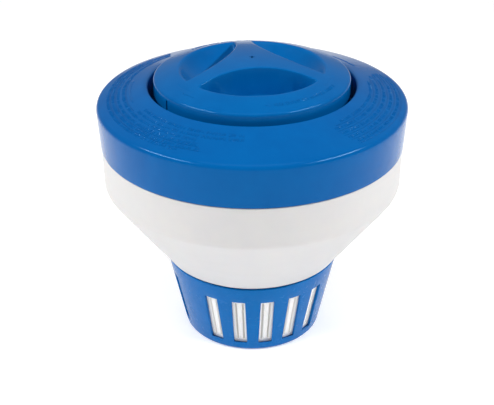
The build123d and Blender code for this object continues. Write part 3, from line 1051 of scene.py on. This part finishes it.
# %% A wrapper for sockets
class Amount:
    """A value that varies over a surface; sums on it add Math nodes."""

    def __init__(self, finish, socket):
        self.finish = finish
        self.socket = socket

    def math(self, operation, first, second):
        made = self.finish.node("ShaderNodeMath", {"operation": operation}, {0: first, 1: second})
        return Amount(self.finish, made.outputs[0])

    def __add__(self, other):
        return self.math("ADD", self, other)

    def __radd__(self, other):
        return self.math("ADD", other, self)

    def __sub__(self, other):
        return self.math("SUBTRACT", self, other)

    def __rsub__(self, other):
        return self.math("SUBTRACT", other, self)

    def __mul__(self, other):
        return self.math("MULTIPLY", self, other)

    def __rmul__(self, other):
        return self.math("MULTIPLY", other, self)


# %% A maker of finishes
class Finish:
    """A material with one shader, and short ways to add textures to it."""

    def __init__(self, name, **constants):
        self.material = bpy.data.materials.new(name)
        self.material.use_nodes = True
        self.tree = self.material.node_tree
        self.shader = self.tree.nodes["Principled BSDF"]
        for socket, value in constants.items():
            self.shader.inputs[socket.replace("_", " ")].default_value = value
        self.place = self.node("ShaderNodeTexCoord").outputs["Object"]

    def node(self, kind, settings=None, sockets=None):
        made = self.tree.nodes.new(kind)
        for name, value in (settings or {}).items():
            if name == "stops":
                while len(made.color_ramp.elements) < len(value):
                    made.color_ramp.elements.new(0.5)
                for element, (position, level) in zip(made.color_ramp.elements, value):
                    element.position = position
                    element.color = (level, level, level, 1)
            else:
                setattr(made, name, value)
        for name, value in (sockets or {}).items():
            value = value.socket if isinstance(value, Amount) else value
            if isinstance(value, bpy.types.NodeSocket):
                self.tree.links.new(value, made.inputs[name])
            else:
                made.inputs[name].default_value = value
        return made

    def stretched(self, x, y, z):
        made = self.node("ShaderNodeMapping", {"vector_type": "POINT"},
                         {"Vector": self.place, "Scale": (x, y, z)})
        return made.outputs["Vector"]

    def noise(self, size, detail=3.0, rough=0.5, place=None, distortion=0.0):
        """Soft random variation with features of about a size in millimetres."""
        made = self.node("ShaderNodeTexNoise", {"noise_dimensions": "3D"},
                         {"Vector": place or self.place, "Scale": 1 / (size * mm), "Detail": detail,
                          "Roughness": rough, "Distortion": distortion})
        return Amount(self, made.outputs["Fac"])

    def ramp(self, amount, *stops):
        made = self.node("ShaderNodeValToRGB", {"stops": stops}, {"Fac": amount})
        return Amount(self, made.outputs["Color"])

    def mix(self, amount, first, second):
        made = self.node("ShaderNodeMix", {"data_type": "RGBA"}, {0: amount, 6: first, 7: second})
        return made.outputs[2]

    def bump(self, height, depth):
        """Turn a height from 0 to 1 into a bumped normal; the depth is in millimetres."""
        sockets = {"Height": height, "Distance": depth * mm, "Strength": 1.0}
        return self.node("ShaderNodeBump", {}, sockets).outputs["Normal"]

    def set(self, **links):
        for socket, value in links.items():
            value = value.socket if isinstance(value, Amount) else value
            self.tree.links.new(value, self.shader.inputs[socket.replace("_", " ")])

    def dress(self, *pieces):
        for piece in pieces:
            piece.data.materials.clear()
            piece.data.materials.append(self.material)
        print(self.material.name, "on", ", ".join(piece.name for piece in pieces))


# %% [markdown]
# ## Blue moulded plastic
# Glossy moulded plastic is never quite even: its colour drifts a little where the melt flowed, its
# gloss changes in soft patches, fine hairlines cross it from handling, and its surface has a faint
# orange peel. Each of those is one term here. The lid, ring and cup are moulded apart, so each has
# its own shade.

# %% Mix the blue finishes
PEEL_DEPTH = 0.035


def blue_plastic(name, deep, pale, roughness):
    finish = Finish(name, Specular_IOR_Level=0.2, IOR=1.49, Specular_Tint=(0.35, 0.7, 1.0, 1))
    flow = finish.noise(38, detail=4, rough=0.55, distortion=0.6)
    cloud = finish.noise(7, detail=3)
    speck = finish.noise(0.9, detail=2)
    scuff = finish.ramp(finish.noise(26, detail=5, place=finish.stretched(1, 9, 4)),
                        (0.56, 0), (0.74, 1))
    hairline = finish.ramp(finish.noise(3.2, detail=4, place=finish.stretched(0.25, 7, 7)),
                           (0.60, 0), (0.66, 1))
    blend = finish.ramp(flow * 0.7 + cloud * 0.3, (0.3, 0), (0.7, 1))
    wear = roughness + cloud * 0.07 + speck * 0.05 + scuff * 0.06 + hairline * 0.05 - 0.09
    skin = finish.noise(2.6, detail=2) * 0.75 + speck * 0.25 - hairline * 0.12
    finish.set(Base_Color=finish.mix(blend, deep, pale), Roughness=wear,
               Normal=finish.bump(skin, PEEL_DEPTH))
    return finish


lid_blue = blue_plastic("lid_blue", (0.0, 0.096, 0.325, 1), (0.0, 0.116, 0.370, 1), 0.19)
ring_blue = blue_plastic("ring_blue", (0.0, 0.090, 0.320, 1), (0.0, 0.108, 0.360, 1), 0.18)
cup_blue = blue_plastic("cup_blue", (0.0, 0.115, 0.390, 1), (0.0, 0.136, 0.435, 1), 0.27)
lid_blue.dress(cap_lid, lid_marks)
ring_blue.dress(blue_ring, ring_marks)
cup_blue.dress(flow_cup)

# %% [markdown]
# ## White plastic
# The float is blow-moulded and slightly cloudy, so a little light scatters inside it. The basket is
# injection-moulded and a touch warmer and drier, and it is given a faint painted glow of its own.

# %% Mix the white finishes
def white_plastic(name, cool, warm, roughness, peel, depth, painted_glow):
    # The emission here is painted light: a faint glow of the part's own, though it is no lamp.
    finish = Finish(name, Specular_IOR_Level=0.4, IOR=1.5, Subsurface_Weight=depth,
                    Subsurface_Scale=0.003, Emission_Color=(1, 0.98, 0.94, 1),
                    Emission_Strength=painted_glow)
    flow = finish.noise(45, detail=3, distortion=0.4)
    cloud = finish.noise(9, detail=3)
    speck = finish.noise(1.1, detail=2)
    scuff = finish.ramp(finish.noise(30, detail=5, place=finish.stretched(1, 1, 6)),
                        (0.57, 0), (0.75, 1))
    blend = finish.ramp(flow * 0.6 + cloud * 0.4, (0.32, 0), (0.68, 1))
    finish.set(Base_Color=finish.mix(blend, cool, warm),
               Roughness=roughness + cloud * 0.10 + speck * 0.06 + scuff * 0.07 - 0.10,
               Normal=finish.bump(finish.noise(4.5, detail=2) * 0.8 + speck * 0.2, peel))
    return finish


float_white = white_plastic("float_white", (0.610, 0.607, 0.615, 1), (0.640, 0.632, 0.625, 1),
                            roughness=0.42, peel=0.06, depth=0.08, painted_glow=0.0)
# The basket and its rivet get a painted glow, light of their own that brightens them in the shade
# inside the cup.
basket_white = white_plastic("basket_white", (0.76, 0.765, 0.76, 1), (0.80, 0.79, 0.77, 1),
                             roughness=0.46, peel=0.03, depth=0.04, painted_glow=0.14)
float_white.dress(float_body)
basket_white.dress(slotted_basket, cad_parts["pivot_rivet"])

# %% [markdown]
# ## Rubber seals
# The gaskets and the O-ring are soft dark rubber with a dry, faintly speckled skin. They show only
# when the lid is lifted.

# %% Mix the rubber
gasket_rubber = Finish("gasket_rubber", Specular_IOR_Level=0.35)
grain = gasket_rubber.noise(0.7, detail=3)
bloom = gasket_rubber.noise(14, detail=4)
gasket_rubber.set(
    Base_Color=gasket_rubber.mix(bloom, (0.016, 0.016, 0.018, 1), (0.04, 0.04, 0.042, 1)),
    Roughness=0.5 + bloom * 0.2 + grain * 0.1, Normal=gasket_rubber.bump(grain, 0.03))
gasket_rubber.dress(*(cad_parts[name] for name in ("cap_gasket", "rim_gasket", "neck_o_ring")))

# %% [markdown]
# ## Camera
# The camera stands in front of the object and looks down at it by a little under 29 degrees. Its
# long lens keeps the round shapes calm. Its axes are worked out from a tilt, a pan and a roll.

# %% Set up the camera
CAMERA_PLACE = Vector((0, -0.6468, 0.4416))
TILT, PAN, ROLL = 0.49989, -0.005375, -0.003424
SENSOR_WIDTH = 36
LENS_IN_WIDTHS = 1087.77 / 494
forward = Vector((math.sin(PAN) * math.cos(TILT), math.cos(PAN) * math.cos(TILT), -math.sin(TILT)))
level = forward.cross(Vector((0, 0, 1))).normalized()
upright = level.cross(forward)
right = level * math.cos(ROLL) + upright * math.sin(ROLL)
up = upright * math.cos(ROLL) - level * math.sin(ROLL)
camera_data = bpy.data.cameras.new("studio_camera")
camera_data.sensor_width = SENSOR_WIDTH
camera_data.lens = SENSOR_WIDTH * LENS_IN_WIDTHS
camera = bpy.data.objects.new("studio_camera", camera_data)
camera.matrix_world = Matrix((right, up, -forward)).transposed().to_4x4()
camera.location = CAMERA_PLACE
bpy.context.collection.objects.link(camera)
bpy.context.scene.camera = camera
bpy.context.scene.view_settings.view_transform = "Standard"
print("lens", round(camera_data.lens, 1), "mm")

# %% [markdown]
# ## Soft boxes
# Two long narrow boxes, one each side and above, draw the long highlights on the rounded rims. A
# broad dim one overhead fills the hollows of the lid.

# %% Hang the soft boxes
LIGHT_AIM = Vector((0, 0, 0.12))


def soft_box(name, bearing, elevation, distance, wide, tall, power, tint=(1, 1, 1)):
    """A rectangular lamp that faces the object."""
    lamp_data = bpy.data.lights.new(name, "AREA")
    lamp_data.shape = "RECTANGLE"
    lamp_data.size = wide
    lamp_data.size_y = tall
    lamp_data.energy = power
    lamp_data.color = tint
    lamp = bpy.data.objects.new(name, lamp_data)
    flat = distance * math.cos(math.radians(elevation))
    height = distance * math.sin(math.radians(elevation))
    lamp.location = on_bearing(flat / mm, bearing, height / mm) + LIGHT_AIM
    lamp.rotation_euler = (lamp.location - LIGHT_AIM).to_track_quat("Z", "Y").to_euler()
    bpy.context.collection.objects.link(lamp)
    print(name, "at", [round(v, 2) for v in lamp.location], "m")


for name, bearing in (("left_box", -70), ("right_box", 70)):
    soft_box(name, bearing, elevation=42, distance=1.3, wide=0.8, tall=0.045, power=11.8,
             tint=(1, 0.99, 0.98))
soft_box("top_box", 0, elevation=80, distance=1.7, wide=1.2, tall=1.2, power=4.0)

# %% [markdown]
# ## Surround
# The rest of the light comes evenly from all round, a little more from above than from the sides.

# %% Light the surround
HORIZON, ZENITH = 0.8, 0.9
SURROUND_STRENGTH = 0.31
world = bpy.data.worlds.new("studio")
bpy.context.scene.world = world
world.use_nodes = True
tree = world.node_tree
direction = tree.nodes.new("ShaderNodeTexCoord").outputs["Generated"]
parts = tree.nodes.new("ShaderNodeSeparateXYZ")
tree.links.new(direction, parts.inputs[0])
ramp = tree.nodes.new("ShaderNodeValToRGB")
ramp.color_ramp.elements[0].position = 0.05
ramp.color_ramp.elements[0].color = (HORIZON, HORIZON, HORIZON, 1)
ramp.color_ramp.elements[1].position = 0.75
ramp.color_ramp.elements[1].color = (ZENITH, ZENITH, ZENITH, 1)
tree.links.new(parts.outputs["Z"], ramp.inputs["Fac"])
tree.links.new(ramp.outputs["Color"], tree.nodes["Background"].inputs["Color"])
tree.nodes["Background"].inputs["Strength"].default_value = SURROUND_STRENGTH
print("surround strength", SURROUND_STRENGTH)

# %% [markdown]
# ## Floor
# A wide sheet of white paper lies just under the cup. It gives off a little light of its own, so
# that it stays pure white round the object, as a floor lit from below does.

# %% Lay the floor
FLOOR_SIZE = 12
FLOOR_GAP = 0.0002
deselect()
bpy.ops.mesh.primitive_plane_add(size=FLOOR_SIZE, location=(0, 0, -FLOOR_GAP))
floor = bpy.context.object
floor.name = "floor"
paper = Finish("paper", Roughness=0.9, Specular_IOR_Level=0.1, Emission_Strength=0.30)
paper.shader.inputs["Emission Color"].default_value = (1, 1, 1, 1)
paper.set(Base_Color=paper.mix(paper.noise(120), (0.90, 0.90, 0.90, 1), (0.92, 0.92, 0.92, 1)))
paper.dress(floor)
